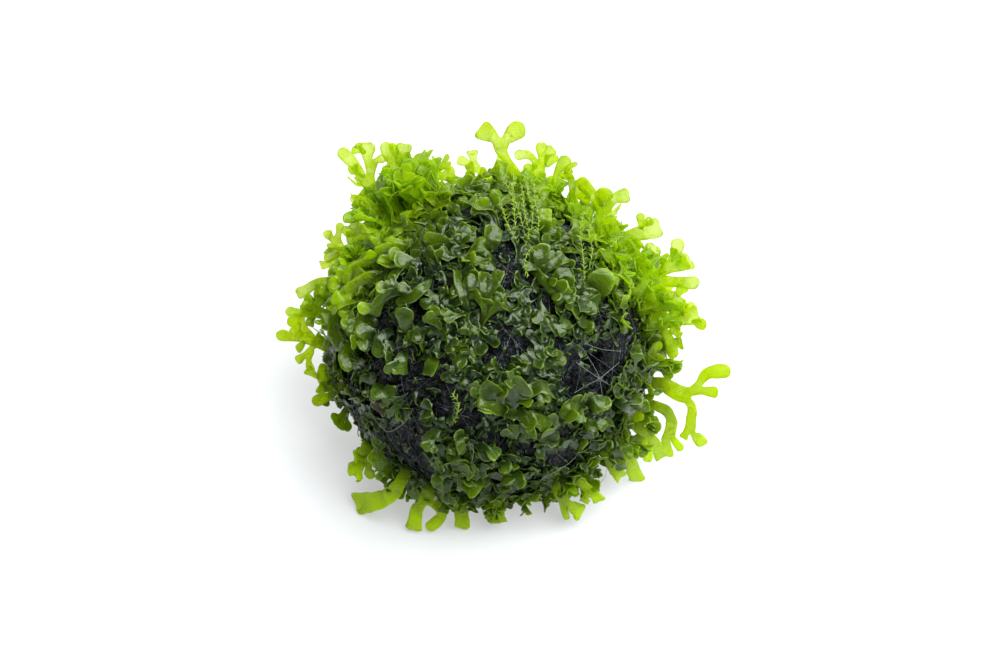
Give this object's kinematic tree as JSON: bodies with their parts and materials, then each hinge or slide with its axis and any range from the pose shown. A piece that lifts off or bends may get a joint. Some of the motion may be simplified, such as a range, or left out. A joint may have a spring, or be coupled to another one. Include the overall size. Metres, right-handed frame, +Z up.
{
  "type": "subwassertang",
  "caption": "Dark rough ball overgrown with wet, forked, ribbon-like green thalli that stand out all round it; it rests on a small flat spot and dresses an aquarium.",
  "frame": {"origin": "middle of the flat spot that the ball rests on", "axes": "+Z up, +X to the right and -Y to the front, as seen in the picture"},
  "size_m": [0.0912, 0.0771, 0.0657],
  "materials": {
    "dark_ball": "rough dark fibre, wet",
    "short_thalli": "wet and glossy, slightly translucent",
    "long_fronds": "wet and glossy, translucent"
  },
  "bodies": {
    "root": {"dark_ball": "dark_ball", "cushion_01": "short_thalli", "cushion_02": "short_thalli", "cushion_03": "short_thalli", "cushion_04": "short_thalli", "cushion_05": "short_thalli", "cushion_06": "short_thalli", "cushion_07": "short_thalli", "cushion_08": "short_thalli", "cushion_09": "short_thalli", "cushion_10": "short_thalli", "cushion_11": "short_thalli", "cushion_12": "short_thalli", "cushion_13": "short_thalli", "cushion_14": "short_thalli", "cushion_15": "short_thalli", "frond_arm": "long_fronds", "frond_bunch": "long_fronds", "frond_crest_left": "long_fronds", "frond_crest_mid": "long_fronds", "frond_crown": "long_fronds", "frond_crown_edge": "long_fronds", "frond_crown_right": "long_fronds", "frond_foot_left": "long_fronds", "frond_fork_left": "long_fronds", "frond_heel_left": "long_fronds", "frond_heel_right": "long_fronds", "frond_hem_front": "long_fronds", "frond_hem_right": "long_fronds", "frond_horn": "long_fronds", "frond_horn_left": "long_fronds", "frond_leaflet_left": "long_fronds", "frond_left_low": "long_fronds", "frond_left_mid": "long_fronds", "frond_left_shoulder": "long_fronds", "frond_left_tip": "long_fronds", "frond_left_upper": "long_fronds", "frond_left_wing": "long_fronds", "frond_leg": "long_fronds", "frond_leg_front": "long_fronds", "frond_lobe": "long_fronds", "frond_loop_front": "long_fronds", "frond_low_right": "long_fronds", "frond_reach": "long_fronds", "frond_ruffle": "long_fronds", "frond_ruffle_loop": "long_fronds", "frond_shoulder": "long_fronds", "frond_side_arm": "long_fronds", "frond_toe_front": "long_fronds", "frond_toe_right": "long_fronds", "frond_back_01": "long_fronds", "frond_back_02": "long_fronds", "frond_back_03": "long_fronds", "frond_back_04": "long_fronds", "frond_back_05": "long_fronds", "frond_back_06": "long_fronds", "frond_back_07": "long_fronds", "frond_back_08": "long_fronds", "frond_back_09": "long_fronds", "frond_back_10": "long_fronds"}
  },
  "joints": []
}
